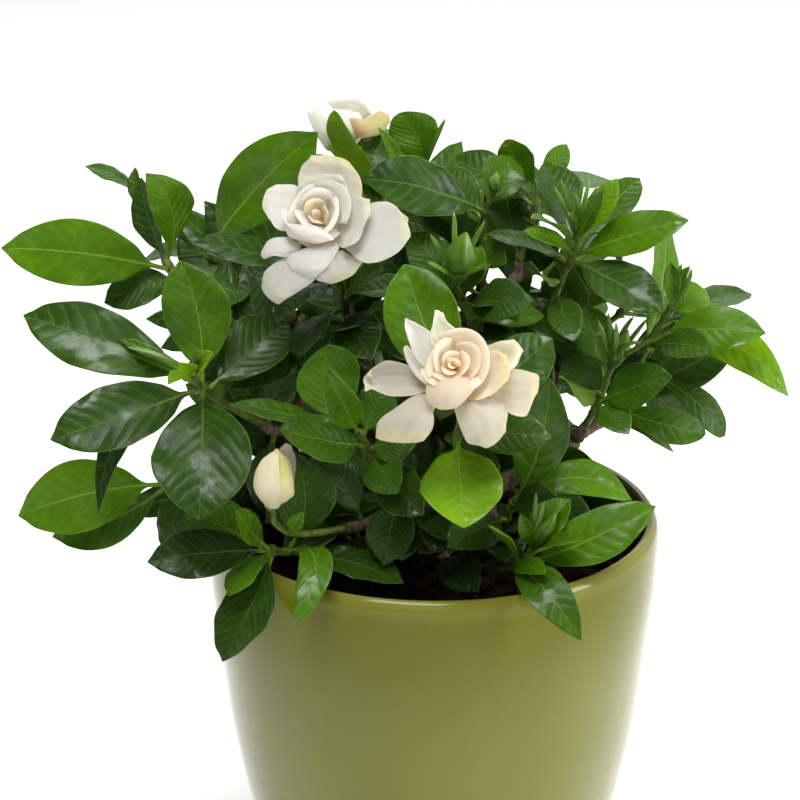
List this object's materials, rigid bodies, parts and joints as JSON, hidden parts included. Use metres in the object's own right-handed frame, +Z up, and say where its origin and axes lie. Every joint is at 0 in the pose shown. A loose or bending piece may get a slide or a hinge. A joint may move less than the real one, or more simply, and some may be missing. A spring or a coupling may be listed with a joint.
{
  "type": "potted gardenia",
  "caption": "Gardenia shrub with glossy leaves, layered pale blooms and buds, planted in soil in a tapering glazed pot.",
  "frame": {"origin": "centre of the pot's flat foot, at floor level", "axes": "+Z up along the pot's axis; -Y towards the front of the plant, where the front bloom is; +X to the right as seen from the front"},
  "size_m": [0.3178, 0.2448, 0.3406],
  "materials": {
    "glaze": "glossy",
    "soil": "loose potting soil",
    "bark": "rough bark",
    "leaf": "glossy leaf and green stem",
    "petal": "soft petal"
  },
  "bodies": {
    "root": {"pot": "glaze", "soil": "soil", "trunk": "bark", "bloom_front": "petal", "bloom_rear": "petal", "bloom_upper": "petal", "bud_opening": "petal", "shoot_bud": "leaf", "shoot_centre_bud": "leaf", "shoot_centre_left": "leaf", "shoot_centre_right": "leaf", "shoot_front": "leaf", "shoot_high_66": "leaf", "shoot_high_112": "leaf", "shoot_left_back": "leaf", "shoot_left_low": "leaf", "shoot_left_mid": "leaf", "shoot_left_top": "leaf", "shoot_low_112": "leaf", "shoot_low_142": "leaf", "shoot_low_172": "leaf", "shoot_low_58": "leaf", "shoot_low_84": "leaf", "shoot_mid_122": "leaf", "shoot_mid_20": "leaf", "shoot_mid_54": "leaf", "shoot_mid_88": "leaf", "shoot_rear_bloom": "leaf", "shoot_right_far": "leaf", "shoot_right_mid": "leaf", "shoot_rim_left": "leaf", "shoot_rim_right": "leaf", "shoot_top": "leaf", "shoot_top_back": "leaf", "shoot_top_right": "leaf", "shoot_upper_bloom": "leaf", "shoot_upper_right": "leaf"}
  },
  "joints": []
}
